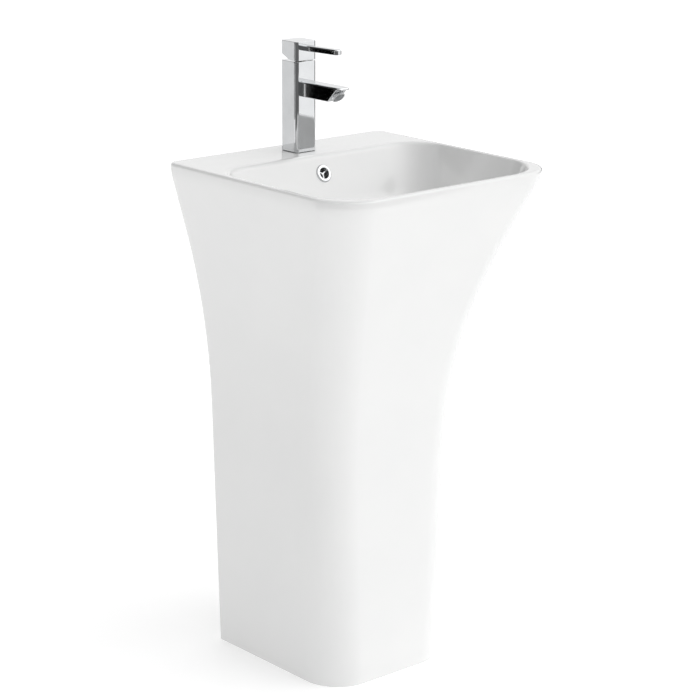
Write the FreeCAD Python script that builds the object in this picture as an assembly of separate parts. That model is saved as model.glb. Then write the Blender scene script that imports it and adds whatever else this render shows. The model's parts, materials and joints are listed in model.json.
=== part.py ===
import FreeCAD, Part
import math
import os

# Freestanding pedestal basin in one piece of ceramic, with a square mixer tap, a push-down waste
# and a bottle trap. Millimetres; +Z up, the user stands on the -Y side, the wall is the plane
# y = DEPTH / 2, and z = 0 is the floor.

V = FreeCAD.Vector
X_AXIS = V(1, 0, 0)
Y_AXIS = V(0, 1, 0)
Z_AXIS = V(0, 0, 1)
ORIGIN = V(0, 0, 0)

# Ceramic body
WIDTH = 455.0
DEPTH = 435.0
RIM_Z = 850.0
LIP_Z = 835.0
WALL = 11.0
BACK_Y = DEPTH / 2
FRONT_Y = -DEPTH / 2
SIDE_TAPER = 0.0375
SIDE_FLARE = 0.295
SIDE_BEND_Z = 430.0
SIDE_FLARE_Z = 745.0
FRONT_TAPER = 0.0
FRONT_FLARE = 0.435
FRONT_BEND_Z = 345.0
FRONT_FLARE_Z = 720.0
FRONT_CORNER_R = 68.0
BACK_CORNER_R = 6.0
BACK_CORNER_GROWTH = 12.0
RIM_ROUND = 5.0
DECK_THICK = 12.0
SECTION_STEP = 60.0
BACK_ALLOWANCE = 0.5

# Bowl
BOWL_HALF = 217.5
BOWL_FRONT_Y = -208.0
BOWL_BACK_Y = 108.0
BOWL_FRONT_R = 90.0
BOWL_BACK_R = 60.0
BOWL_DEPTH = 118.0
BOWL_ROUND = 50.0
SIDE_DRAFT = 0.33
FRONT_DRAFT = 0.30
BACK_DRAFT = 0.42
FRONT_R_LOSS = 0.35
BACK_R_LOSS = 0.20
FLOOR_Z = RIM_Z - BOWL_DEPTH
DISH_FALL = 4.0
DISH_R = 62.0

# Back opening and wall fixing
OPENING_HALF = 92.0
OPENING_TOP = 690.0
OPENING_ROUND = 45.0
FIXING_SPACING = 280.0
FIXING_HOLE_R = 7.0
FIXING_Z = 780.0

# Overflow
OVERFLOW_DROP = 29.0
OVERFLOW_HOLE_R = 11.2
DUCT_HALF = 14.0
DUCT_WALL = 8.0

# Waste
DRAIN_Y = -50.0
DRAIN_HOLE_R = 23.0
DRAIN_SEAT_R = 34.0
DRAIN_SEAT_Z = FLOOR_Z - DISH_FALL
BOSS_R = 36.0
BOSS_Z = 680.0
TAIL_R = 20.9
TAIL_BORE_R = 18.5
TAIL_Z = 641.0
PLUG_TRAVEL = 9.0

# Trap
OUTLET_Z = 580.0
PIPE_R = 16.0
PIPE_WALL = 1.4
PIPE_END_Y = 140.0

# Tap
TAP_Y = 160.0
TAP_HOLE_R = 17.5
TAP_SIDE = 41.6
TAP_EDGE_R = 4.7
GASKET_THICK = 0.8
TAP_TOP = 149.5
BORE_R = 13.5
SEAT_Z = 108.0
SUPPLY_X = 9.0
SUPPLY_Y = -3.0
SUPPLY_THREAD_R = 5.0
SUPPLY_THREAD_DEPTH = 16.0
SUPPLY_BORE_R = 3.5
STUD_R = 4.0
STUD_HOLE_R = 4.02
STUD_Y = 10.5
PIVOT_Z = 138.0
HANDLE_Z = 151.0
HANDLE_TOP = 182.0
STEM_SIDE = 7.8
SPOUT_HALF = 12.0
SPOUT_LOW = 93.0
SPOUT_HIGH = 118.0
SPOUT_REACH = 115.5
SPOUT_TIP_R = 5.0
SPOUT_TOP_R = 3.0
SPOUT_EDGE_R = 1.2
LEVER_LOW = 167.0
LEVER_HIGH = 176.0
LEVER_REACH = 102.5
LEVER_HALF = 6.8
LEVER_RISE = 1.6
LEVER_TIP_R = 4.5
LEVER_TOP_R = 2.5
TENON_R = 3.0
TENON_DEPTH = 7.0
GRUB_Z = 168.0
DISC_REST_Y = 2.6
TILT_ARM = 14.0


def save(shape, node):
    shape.exportStep("parts/" + node + ".step")


def box(x0, x1, y0, y1, z0, z1):
    return Part.makeBox(x1 - x0, y1 - y0, z1 - z0, V(x0, y0, z0))


def rod(radius, z0, z1, x=0.0, y=0.0):
    return Part.makeCylinder(radius, z1 - z0, V(x, y, z0), Z_AXIS)


def ring(outer, inner, z0, z1, x=0.0, y=0.0):
    return rod(outer, z0, z1, x, y).cut(rod(inner, z0 - 1, z1 + 1, x, y))


def rod_y(radius, y0, y1, x=0.0, z=0.0):
    return Part.makeCylinder(radius, y1 - y0, V(x, y0, z), Y_AXIS)


def ring_y(outer, inner, y0, y1, x=0.0, z=0.0):
    return rod_y(outer, y0, y1, x, z).cut(rod_y(inner, y0 - 1, y1 + 1, x, z))


def turned(points, x=0.0, y=0.0):
    """Solid turned about a vertical line from (radius, height) points."""
    corners = [V(x + r, y, z) for r, z in points]
    face = Part.Face(Part.makePolygon(corners + corners[:1]))
    return face.revolve(V(x, y, 0), Z_AXIS, 360)


def hexagon(across_flats, z0, z1, x=0.0, y=0.0):
    radius = across_flats / math.sqrt(3)
    corners = []
    for i in range(7):
        angle = math.radians(60 * i)
        corners.append(V(x + radius * math.cos(angle), y + radius * math.sin(angle), z0))
    return Part.Face(Part.makePolygon(corners)).extrude(V(0, 0, z1 - z0))


def side_prism(points, x0, x1):
    """Prism along X from (y, z) points."""
    corners = [V(x0, y, z) for y, z in points]
    return Part.Face(Part.makePolygon(corners + corners[:1])).extrude(V(x1 - x0, 0, 0))


def rounded_bar(x0, x1, y0, y1, z0, z1, radius):
    """Upright bar whose four vertical edges are rounded."""
    bar = box(x0, x1, y0, y1, z0, z1)
    upright = [e for e in bar.Edges if abs(e.BoundBox.ZLength - (z1 - z0)) < 0.01]
    return bar.makeFillet(radius, upright)


# ---------------------------------------------------------------- ceramic body

def outline(half, y_front, y_back, r_front, r_back, z):
    """Rounded rectangle at height z, as four arcs and four lines in a fixed order."""
    corners = [
        (half - r_front, y_front + r_front, r_front, -90),
        (half - r_back, y_back - r_back, r_back, 0),
        (r_back - half, y_back - r_back, r_back, 90),
        (r_front - half, y_front + r_front, r_front, 180),
    ]
    arcs = []
    for cx, cy, radius, start in corners:
        angles = [math.radians(start + turn) for turn in (0, 45, 90)]
        points = [V(cx + radius * math.cos(a), cy + radius * math.sin(a), z) for a in angles]
        arcs.append(points)
    edges = []
    for i, points in enumerate(arcs):
        edges.append(Part.Arc(*points).toShape())
        edges.append(Part.makeLine(points[2], arcs[(i + 1) % 4][0]))
    return Part.Wire(edges)


def rise(z, taper, flare, z_bend, z_flare):
    """Outward travel of a wall from the floor to z: straight, then curved, then a straight flare."""
    if z <= z_bend:
        curve = 0.0
    elif z <= z_flare:
        curve = (z - z_bend) ** 2 / (2 * (z_flare - z_bend))
    else:
        curve = (z - z_flare) + (z_flare - z_bend) / 2
    return taper * z + (flare - taper) * curve


def side_inset(z):
    shape = (SIDE_TAPER, SIDE_FLARE, SIDE_BEND_Z, SIDE_FLARE_Z)
    return rise(LIP_Z, *shape) - rise(min(z, LIP_Z), *shape)


def front_inset(z):
    shape = (FRONT_TAPER, FRONT_FLARE, FRONT_BEND_Z, FRONT_FLARE_Z)
    return rise(LIP_Z, *shape) - rise(min(z, LIP_Z), *shape)


def body_section(z, inset=0.0, back_y=BACK_Y + BACK_ALLOWANCE):
    back_r = BACK_CORNER_R + BACK_CORNER_GROWTH * max(z, 0.0) / RIM_Z
    return outline(
        WIDTH / 2 - side_inset(z) - inset,
        FRONT_Y + front_inset(z) + inset,
        back_y,
        FRONT_CORNER_R - inset,
        max(back_r - inset, 3.0),
        z,
    )


def body_heights(z0, z1):
    count = int((z1 - z0) / SECTION_STEP) + 1
    return [z0 + (z1 - z0) * i / count for i in range(count + 1)]


def outer_solid():
    """Outside of the basin, lofted slightly too deep and then planed flat at the wall."""
    lower = Part.makeLoft([body_section(z) for z in body_heights(0.0, LIP_Z)], True, False)
    straight = Part.makeLoft([body_section(LIP_Z), body_section(RIM_Z - RIM_ROUND)], True, True)
    solid = lower.fuse(straight)
    steps = [0, 22.5, 45, 67.5, 90]
    sections = []
    for degrees in steps:
        angle = math.radians(degrees)
        z = RIM_Z - RIM_ROUND + RIM_ROUND * math.sin(angle)
        sections.append(rim_section(z, RIM_ROUND * (1 - math.cos(angle))))
    solid = solid.fuse(Part.makeLoft(sections, True, True))
    behind = box(-WIDTH, WIDTH, BACK_Y, BACK_Y + 10, -10, RIM_Z + 10)
    return solid.cut(behind).removeSplitter()


def rim_section(z, inset):
    """Section of the rounded rim; the back stays flat against the wall."""
    back_r = BACK_CORNER_R + BACK_CORNER_GROWTH
    back_y = BACK_Y + BACK_ALLOWANCE
    return outline(WIDTH / 2 - inset, FRONT_Y + inset, back_y, FRONT_CORNER_R - inset, back_r, z)


def inner_room():
    """Hollow of the pedestal before the bowl is put in."""
    heights = body_heights(-2.0, RIM_Z - DECK_THICK)
    return Part.makeLoft([body_section(z, WALL, BACK_Y - WALL) for z in heights], True, False)


def bowl_section(drop, inset, grow):
    """Bowl outline at a depth below the rim; inset is the bottom curve's share."""
    half = BOWL_HALF + grow - SIDE_DRAFT * drop - inset
    front = BOWL_FRONT_Y - grow + FRONT_DRAFT * drop + inset
    back = BOWL_BACK_Y + grow - BACK_DRAFT * drop - inset
    loss = SIDE_DRAFT * drop + inset
    r_front = BOWL_FRONT_R + grow - FRONT_R_LOSS * loss
    r_back = BOWL_BACK_R + grow - BACK_R_LOSS * loss
    return outline(half, front, back, r_front, r_back, RIM_Z - drop)


def bowl_solid(grow, top_drop):
    """The bowl's hollow, or the same grown by the wall's thickness."""
    depth = BOWL_DEPTH + grow
    radius = BOWL_ROUND + grow
    straight = depth - radius
    sections = []
    for i in range(4):
        drop = top_drop + (straight - top_drop) * i / 4
        sections.append(bowl_section(drop, 0.0, grow))
    for degrees in (0, 20, 40, 60, 75, 90):
        angle = math.radians(degrees)
        drop = straight + radius * math.sin(angle)
        sections.append(bowl_section(drop, radius * (1 - math.cos(angle)), grow))
    return Part.makeLoft(sections, True, False)


def overflow_point():
    """Centre of the overflow hole on the bowl's back wall, and the wall's normal."""
    point = V(0, BOWL_BACK_Y - BACK_DRAFT * OVERFLOW_DROP, RIM_Z - OVERFLOW_DROP)
    normal = V(0, -1, BACK_DRAFT)
    normal.normalize()
    return point, normal


def duct(margin):
    """Overflow channel behind and below the bowl; margin is its wall's thickness."""
    x = DUCT_HALF + margin
    y_back = BOWL_BACK_Y + WALL + 6
    z_low = 695.0
    leg_top = RIM_Z - DECK_THICK - 2 + margin
    upright = box(-x, x, y_back - 15 - margin, y_back + margin, z_low - margin, leg_top)
    level = box(-x, x, DRAIN_Y, y_back + margin, z_low - margin, z_low + 13 + margin)
    return upright.fuse(level)


def back_opening():
    """Upright opening with rounded upper corners, through the back wall."""
    low = box(-OPENING_HALF, OPENING_HALF, BACK_Y - WALL - 4, BACK_Y + 1, -1, OPENING_TOP)
    top_edges = []
    for edge in low.Edges:
        bounds = edge.BoundBox
        if bounds.ZMin > OPENING_TOP - 0.01 and bounds.YLength > 1:
            top_edges.append(edge)
    return low.makeFillet(OPENING_ROUND, top_edges)


def ceramic_basin():
    boss = rod(BOSS_R, BOSS_Z, FLOOR_Z, 0, DRAIN_Y)
    filled = bowl_solid(WALL, 0.0).fuse(boss).fuse(duct(DUCT_WALL))
    hollow = inner_room().cut(filled)
    solid = outer_solid().cut(hollow)
    solid = solid.cut(bowl_solid(0.0, -3.0))
    solid = solid.cut(duct(0.0))
    dish = Part.makeCone(DRAIN_SEAT_R, DISH_R, DISH_FALL, V(0, DRAIN_Y, DRAIN_SEAT_Z), Z_AXIS)
    solid = solid.cut(dish)
    solid = solid.cut(rod(DRAIN_HOLE_R, BOSS_Z - 1, FLOOR_Z, 0, DRAIN_Y))
    point, normal = overflow_point()
    inward = point - normal * (WALL + 6)
    solid = solid.cut(Part.makeCylinder(OVERFLOW_HOLE_R, WALL + 12, inward, normal))
    solid = solid.cut(rod(TAP_HOLE_R, RIM_Z - DECK_THICK - 2, RIM_Z + 1, 0, TAP_Y))
    solid = solid.cut(back_opening())
    for side in (-1, 1):
        hole = rod_y(FIXING_HOLE_R, BACK_Y - WALL - 4, BACK_Y + 1, side * FIXING_SPACING / 2, FIXING_Z)
        solid = solid.cut(hole)
    return solid


# ---------------------------------------------------------------- overflow cover

def overflow_cover():
    """Flanged ring pressed into the overflow hole, with a three-armed grille set back in it."""
    flange_r = 15.0
    bore_r = 9.0
    flange = turned([(bore_r, 0.3), (flange_r, 0.3), (flange_r, 0.8), (12.5, 2.2), (bore_r, 2.2)])
    sleeve = ring(OVERFLOW_HOLE_R - 0.02, bore_r, -9.0, 0.3)
    cover = flange.fuse(sleeve)
    cover = cover.fuse(rod(2.2, -5.0, -2.0))
    for i in range(3):
        arm = box(-0.9, 0.9, 0.0, bore_r + 0.5, -5.0, -2.0)
        arm.rotate(ORIGIN, Z_AXIS, 60 + 120 * i)
        cover = cover.fuse(arm)
    point, normal = overflow_point()
    placed = cover.removeSplitter()
    placed.Placement = FreeCAD.Placement(point, FreeCAD.Rotation(Z_AXIS, normal))
    return placed


# ---------------------------------------------------------------- waste

FLANGE_Z = DRAIN_SEAT_Z + 1.5
FLANGE_TOP = FLANGE_Z + 2.7
SLOT_LOW = 696.0
SLOT_HIGH = 708.0
CROSSBAR_Z = 672.0
CAGE_TOP = 716.0
CAGE_FLOOR = 684.0
CAP_LOW = FLANGE_TOP + PLUG_TRAVEL + 0.6


def waste_body():
    flange = turned(
        [(TAIL_BORE_R, FLANGE_Z), (32.0, FLANGE_Z), (32.5, FLANGE_Z + 1.2), (29.0, FLANGE_TOP),
         (23.0, FLANGE_TOP), (TAIL_BORE_R, FLANGE_TOP - 2.0)], 0, DRAIN_Y)
    body = flange.fuse(ring(TAIL_R, TAIL_BORE_R, TAIL_Z, FLANGE_Z, 0, DRAIN_Y))
    across = box(-TAIL_R - 1, TAIL_R + 1, DRAIN_Y - 6, DRAIN_Y + 6, SLOT_LOW, SLOT_HIGH)
    along = box(-6, 6, DRAIN_Y - TAIL_R - 1, DRAIN_Y + TAIL_R + 1, SLOT_LOW, SLOT_HIGH)
    body = body.cut(across).cut(along)
    for turn in (0, 90):
        arm = box(-TAIL_BORE_R - 1, TAIL_BORE_R + 1, -1.5, 1.5, CROSSBAR_Z, CROSSBAR_Z + 8)
        arm.rotate(ORIGIN, Z_AXIS, turn)
        arm.translate(V(0, DRAIN_Y, 0))
        body = body.fuse(arm)
    body = body.fuse(rod(6.5, CROSSBAR_Z, CROSSBAR_Z + 8, 0, DRAIN_Y))
    return body.cut(rod(3.5, CROSSBAR_Z - 1, CROSSBAR_Z + 9, 0, DRAIN_Y)).removeSplitter()


def plug_cage():
    """Sleeve that guides the plug, screwed into the waste's crossbar."""
    shell = ring(8.6, 7.2, CAGE_FLOOR, CAGE_TOP, 0, DRAIN_Y)
    floor = rod(8.6, CROSSBAR_Z + 8, CAGE_FLOOR, 0, DRAIN_Y)
    lid = ring(8.6, 4.4, CAGE_TOP, CAGE_TOP + 2.5, 0, DRAIN_Y)
    screw = rod(3.45, CROSSBAR_Z - 1.5, CROSSBAR_Z + 8, 0, DRAIN_Y)
    return shell.fuse(floor).fuse(lid).fuse(screw).removeSplitter()


COLLAR_Z = 710.0


def plug_stem():
    shaft = rod(4.0, COLLAR_Z - 8.0, CAP_LOW + 2.0, 0, DRAIN_Y)
    collar = rod(6.8, COLLAR_Z, COLLAR_Z + 4.0, 0, DRAIN_Y)
    return shaft.fuse(collar).removeSplitter()


def plug_spring():
    """Coil of drawn wire with an eight-sided section."""
    wire_r = 0.65
    coil_r = 5.4
    low = CAGE_FLOOR + wire_r + 0.05
    high = COLLAR_Z - wire_r - 0.05
    turns = 6.0
    path = Part.makeHelix((high - low) / turns, high - low, coil_r)
    corners = []
    for i in range(9):
        angle = math.radians(22.5 + 45 * i)
        corners.append(V(coil_r + wire_r * math.cos(angle), 0, wire_r * math.sin(angle)))
    coil = Part.Wire(path).makePipeShell([Part.makePolygon(corners)], True, True)
    coil.translate(V(0, DRAIN_Y, low))
    return coil


def plug_cap():
    return turned(
        [(0.0, CAP_LOW + 2.0), (4.2, CAP_LOW + 2.0), (4.2, CAP_LOW - 5.0), (9.0, CAP_LOW - 5.0),
         (10.0, CAP_LOW + 1.0), (29.0, CAP_LOW + 1.5), (30.5, CAP_LOW), (31.5, CAP_LOW + 0.8),
         (31.0, CAP_LOW + 2.6), (24.0, CAP_LOW + 4.6), (12.0, CAP_LOW + 6.0), (0.0, CAP_LOW + 6.4)],
        0, DRAIN_Y)


def plug_seal():
    """Ring under the cap that lies on the flange when the plug is down."""
    return turned(
        [(19.0, CAP_LOW + 1.2), (19.0, CAP_LOW - 0.2), (23.5, CAP_LOW - 0.2), (24.5, CAP_LOW + 1.3)],
        0, DRAIN_Y)


# ---------------------------------------------------------------- trap

TUBE_BORE_R = PIPE_R - PIPE_WALL
SEAL_Z = TAIL_Z - 2.0
FLARE_Z = SEAL_Z - 3.0
NECK_Z = 612.0
BOTTLE_R = 31.0
BOTTLE_WALL = 2.5
BOTTLE_LOW = 520.0
BOTTLE_TOP = 600.0
CUP_LOW = 478.0
STUB_Y = DRAIN_Y + 58.0


def grip_nut(outer, inner, z0, z1):
    """Plastic union nut with a ribbed grip."""
    nut = ring(outer, inner, z0, z1)
    for i in range(12):
        rib = box(outer - 0.6, outer + 1.4, -2.0, 2.0, z0, z1)
        rib.rotate(ORIGIN, Z_AXIS, 30 * i)
        nut = nut.fuse(rib)
    return nut


def trap_inlet_nut():
    nut = grip_nut(25.0, TAIL_R + 0.1, FLARE_Z, TAIL_Z + 14)
    lip = ring(25.0, PIPE_R + 0.1, FLARE_Z - 5, FLARE_Z)
    nut = nut.fuse(lip).removeSplitter()
    nut.translate(V(0, DRAIN_Y, 0))
    return nut


def trap_dip_tube():
    tube = ring(PIPE_R, TUBE_BORE_R, 500.0, SEAL_Z, 0, DRAIN_Y)
    flare = ring(TAIL_R - 0.2, TUBE_BORE_R, FLARE_Z, SEAL_Z, 0, DRAIN_Y)
    return tube.fuse(flare).removeSplitter()


def trap_body():
    """Bottle with a neck for the dip tube and a side outlet towards the wall."""
    inner = BOTTLE_R - BOTTLE_WALL
    shell = rod(BOTTLE_R, BOTTLE_LOW, BOTTLE_TOP, 0, DRAIN_Y)
    neck = rod(21.0, BOTTLE_TOP, NECK_Z, 0, DRAIN_Y)
    stub = rod_y(20.0, DRAIN_Y, STUB_Y, 0, OUTLET_Z)
    body = shell.fuse(neck).fuse(stub)
    body = body.cut(rod(inner, BOTTLE_LOW - 1, BOTTLE_TOP - BOTTLE_WALL, 0, DRAIN_Y))
    body = body.cut(rod(PIPE_R + 0.2, BOTTLE_TOP - 5, NECK_Z - 5, 0, DRAIN_Y))
    body = body.cut(rod(19.2, NECK_Z - 5, NECK_Z + 1, 0, DRAIN_Y))
    body = body.cut(rod_y(15.0, DRAIN_Y, STUB_Y - 18, 0, OUTLET_Z))
    return body.cut(rod_y(PIPE_R + 0.2, STUB_Y - 18, STUB_Y + 1, 0, OUTLET_Z)).removeSplitter()


def trap_neck_nut():
    nut = grip_nut(24.5, 21.1, NECK_Z - 8, NECK_Z + 1)
    nut = nut.fuse(ring(24.5, PIPE_R + 0.1, NECK_Z + 1, NECK_Z + 5)).removeSplitter()
    nut.translate(V(0, DRAIN_Y, 0))
    return nut


def trap_cup():
    """Screw-off lower half of the bottle."""
    cup = turned(
        [(0.0, CUP_LOW), (24.0, CUP_LOW), (30.0, CUP_LOW + 6), (31.0, CUP_LOW + 14),
         (31.0, BOTTLE_LOW - 3), (34.5, BOTTLE_LOW - 3), (34.5, BOTTLE_LOW + 14),
         (BOTTLE_R + 0.1, BOTTLE_LOW + 14), (BOTTLE_R + 0.1, BOTTLE_LOW - 2),
         (28.5, BOTTLE_LOW - 2), (28.5, CUP_LOW + 14), (22.0, CUP_LOW + 2.5), (0.0, CUP_LOW + 2.5)],
        0, DRAIN_Y)
    for i in range(16):
        rib = box(34.0, 36.0, -1.8, 1.8, BOTTLE_LOW - 3, BOTTLE_LOW + 14)
        rib.rotate(ORIGIN, Z_AXIS, 22.5 * i)
        rib.translate(V(0, DRAIN_Y, 0))
        cup = cup.fuse(rib)
    return cup.removeSplitter()


def trap_outlet_nut():
    nut = grip_nut(23.5, 20.1, -12.0, 1.0)
    nut = nut.fuse(ring(23.5, PIPE_R + 0.1, 1.0, 5.0)).removeSplitter()
    nut.rotate(ORIGIN, X_AXIS, -90)
    nut.translate(V(0, STUB_Y, OUTLET_Z))
    return nut


def waste_pipe():
    """Straight pipe towards the wall, with a stop bead outside the trap's outlet nut."""
    pipe = rod_y(PIPE_R, STUB_Y - 17.5, PIPE_END_Y, 0, OUTLET_Z)
    pipe = pipe.fuse(rod_y(PIPE_R + 1.5, STUB_Y + 5.2, STUB_Y + 7.2, 0, OUTLET_Z))
    pipe = pipe.cut(rod_y(TUBE_BORE_R, STUB_Y - 19, PIPE_END_Y + 1, 0, OUTLET_Z))
    return pipe.removeSplitter()


# ---------------------------------------------------------------- tap
# Tap pieces are drawn about the tap hole's axis with z = 0 on the deck, then moved into place.

HALF = TAP_SIDE / 2
LEVER_MID_Z = (LEVER_LOW + LEVER_HIGH) / 2


def on_deck(shape):
    shape.translate(V(0, TAP_Y, RIM_Z))
    return shape


def tap_body():
    body = rounded_bar(-HALF, HALF, -HALF, HALF, GASKET_THICK, TAP_TOP, TAP_EDGE_R)
    body = body.cut(rod(BORE_R, SEAT_Z, TAP_TOP + 1))
    for side in (-1, 1):
        x = side * SUPPLY_X
        thread_top = GASKET_THICK + SUPPLY_THREAD_DEPTH
        body = body.cut(rod(SUPPLY_THREAD_R - 0.5, 0, thread_top, x, SUPPLY_Y))
        body = body.cut(rod(SUPPLY_BORE_R, thread_top - 1, SEAT_Z + 1, x, SUPPLY_Y))
    body = body.cut(rod(STUD_HOLE_R, 0, 16.0, 0, STUD_Y))
    body = body.cut(rod(4.0, SPOUT_LOW + 8, SEAT_Z + 1, 0, -7.5))
    return body.cut(rod_y(4.0, -HALF - 1, -7.5, 0, SPOUT_LOW + 12)).removeSplitter()


END_LOW_Y = -88.0
LIP_HEIGHT = 4.5
SLOPE_TOP_Y = END_LOW_Y - (SPOUT_HIGH - LIP_HEIGHT - SPOUT_LOW)
END_MID_Y = (END_LOW_Y + SLOPE_TOP_Y) / 2
END_MID_Z = (SPOUT_LOW + SPOUT_HIGH - LIP_HEIGHT) / 2
END_OUT = V(0, -math.sqrt(0.5), -math.sqrt(0.5))
AERATOR_R = 11.2
AERATOR_THREAD_R = 9.8
AERATOR_DEPTH = 8.5
AERATOR_SEAL_THICK = 1.2


def on_slope(shape):
    """Moves a piece drawn along +Z to the spout's slanted end, facing out."""
    shape.Placement = FreeCAD.Placement(V(0, END_MID_Y, END_MID_Z), FreeCAD.Rotation(Z_AXIS, END_OUT))
    return on_deck(shape)


def long_edges(bar, z):
    """Edges of a spout or lever that run lengthwise at height z."""
    return [e for e in bar.Edges if e.BoundBox.YLength > 60 and abs(e.BoundBox.Center.z - z) < 0.1]


def tap_spout():
    lip_z = SPOUT_HIGH - LIP_HEIGHT
    bar = side_prism(
        [(-HALF, SPOUT_LOW), (END_LOW_Y, SPOUT_LOW), (SLOPE_TOP_Y, lip_z), (-SPOUT_REACH, lip_z),
         (-SPOUT_REACH, SPOUT_HIGH), (-HALF, SPOUT_HIGH)], -SPOUT_HALF, SPOUT_HALF)
    tip_edges = []
    for edge in bar.Edges:
        bounds = edge.BoundBox
        if bounds.YMax < -SPOUT_REACH + 0.01 and bounds.ZLength > 1:
            tip_edges.append(edge)
    bar = bar.makeFillet(SPOUT_TIP_R, tip_edges)
    bar = bar.makeFillet(SPOUT_TOP_R, long_edges(bar, SPOUT_HIGH))
    bar = bar.makeFillet(SPOUT_EDGE_R, long_edges(bar, SPOUT_LOW))
    bar = bar.cut(box(-8, 8, END_LOW_Y - 2, -HALF + 1, SPOUT_LOW + 4, SPOUT_HIGH - 4))
    bore = Part.makeCylinder(AERATOR_THREAD_R, AERATOR_DEPTH, V(0, END_MID_Y, END_MID_Z), END_OUT * -1)
    mouth = Part.makeCylinder(AERATOR_THREAD_R, 2.0, V(0, END_MID_Y, END_MID_Z), END_OUT)
    return bar.cut(bore).cut(mouth).removeSplitter()


def aerator_housing():
    rim = turned([(9.0, 0.1), (AERATOR_R, 0.1), (AERATOR_R, 4.2), (10.6, 5.0), (9.6, 5.0), (9.0, 4.4)])
    skirt = ring(AERATOR_THREAD_R - 0.05, 8.3, AERATOR_SEAL_THICK - AERATOR_DEPTH, 0.1)
    return rim.fuse(skirt).removeSplitter()


def aerator_insert():
    """Flow straightener: a round plate with rings of small holes."""
    plate = rod(8.95, 1.2, 3.6)
    for ring_r, count in ((0.0, 1), (2.6, 6), (5.2, 12)):
        for i in range(count):
            angle = 2 * math.pi * i / count
            x = ring_r * math.cos(angle)
            y = ring_r * math.sin(angle)
            plate = plate.cut(rod(0.9, 0, 5, x, y))
    return plate


def cartridge_base():
    base = rod(13.2, SEAT_Z + 0.5, SEAT_Z + 4)
    for side in (-1, 1):
        base = base.cut(rod(3.2, SEAT_Z, SEAT_Z + 5, side * SUPPLY_X * 0.72, SUPPLY_Y))
    return base.cut(rod(3.0, SEAT_Z, SEAT_Z + 5, 0, -7.5))


def cartridge_seals():
    """Three small rings between the cartridge's ports and the body, as one set."""
    rings = [ring(4.2, 3.3, SEAT_Z, SEAT_Z + 0.5, s * SUPPLY_X * 0.72, SUPPLY_Y) for s in (-1, 1)]
    rings.append(ring(4.8, 4.1, SEAT_Z, SEAT_Z + 0.5, 0, -7.5))
    return Part.makeCompound(rings)


def fixed_disc():
    disc = rod(10.8, SEAT_Z + 4, SEAT_Z + 7)
    for side in (-1, 1):
        disc = disc.cut(rod(2.4, SEAT_Z, SEAT_Z + 8, side * 4.6, 3.5))
    return disc.cut(rod(3.0, SEAT_Z, SEAT_Z + 8, 0, -6.0))


def moving_disc():
    disc = rod(8.0, SEAT_Z + 7.1, SEAT_Z + 10, 0, DISC_REST_Y)
    return disc.cut(rod(4.6, SEAT_Z + 7, SEAT_Z + 8.6, 0, DISC_REST_Y - 2.0))


def disc_carrier():
    carrier = rod(8.0, SEAT_Z + 10, PIVOT_Z - TILT_ARM + 3, 0, DISC_REST_Y)
    pocket = box(-3.6, 3.6, -3.9, 3.9, PIVOT_Z - TILT_ARM - 3.7, PIVOT_Z)
    return carrier.cut(pocket)


def cartridge_housing():
    tube = ring(13.2, 11.1, SEAT_Z + 4, 143.3)
    return tube.fuse(ring(13.2, 9.6, 141.4, 143.3)).removeSplitter()


TURRET_LOW = PIVOT_Z - TILT_ARM + 3.5


def cartridge_turret():
    turret = rod(10.75, TURRET_LOW, 141.0)
    slot = STEM_SIDE / 2 + 0.35
    turret = turret.cut(box(-slot, slot, -8.6, 6.2, TURRET_LOW - 1, 142))
    bore = Part.makeCylinder(1.5, 24, V(-12, 0, PIVOT_Z), X_AXIS)
    return turret.cut(bore)


def turret_pin():
    return Part.makeCylinder(1.5, 19, V(-9.5, 0, PIVOT_Z), X_AXIS)


def cartridge_stem():
    """Square spindle on a cross pin, with a ball that pushes the disc carrier."""
    half = STEM_SIDE / 2
    square = box(-half, half, -half, half, PIVOT_Z - 4, HANDLE_TOP - 6)
    neck = rod(2.6, PIVOT_Z - TILT_ARM, PIVOT_Z - 4)
    ball = Part.makeSphere(3.2, V(0, 0, PIVOT_Z - TILT_ARM))
    stem = square.fuse(neck).fuse(ball)
    return stem.cut(Part.makeCylinder(1.56, 20, V(-10, 0, PIVOT_Z), X_AXIS)).removeSplitter()


def cartridge_nut():
    nut = ring(BORE_R - 0.05, 9.6, 143.4, TAP_TOP - 0.7)
    for turn in (0, 90):
        slot = box(-15, 15, -1.5, 1.5, TAP_TOP - 2.7, TAP_TOP)
        slot.rotate(ORIGIN, Z_AXIS, turn)
        nut = nut.cut(slot)
    return nut


def handle_block():
    """Square cap whose rear underside slopes up, so that it can tip back."""
    block = rounded_bar(-HALF, HALF, -HALF, HALF, HANDLE_Z - 2, HANDLE_TOP, TAP_EDGE_R)
    below = side_prism(
        [(-HALF - 1, HANDLE_Z - 3), (HALF + 1, HANDLE_Z - 3), (HALF + 1, HANDLE_Z + 11.0),
         (-2.5, HANDLE_Z), (-HALF - 1, HANDLE_Z)], -HALF - 1, HALF + 1)
    block = block.cut(below)
    block = block.cut(rod(10.5, HANDLE_Z - 3, HANDLE_Z + 9.5))
    socket = STEM_SIDE / 2 + 0.02
    block = block.cut(box(-socket, socket, -socket, socket, HANDLE_Z, HANDLE_TOP - 5.9))
    block = block.cut(rod_y(2.55, socket - 1, HALF + 1, 0, GRUB_Z))
    block = block.cut(rod_y(TENON_R, -HALF - 1, TENON_DEPTH - HALF, 0, LEVER_MID_Z))
    return block.removeSplitter()


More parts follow.
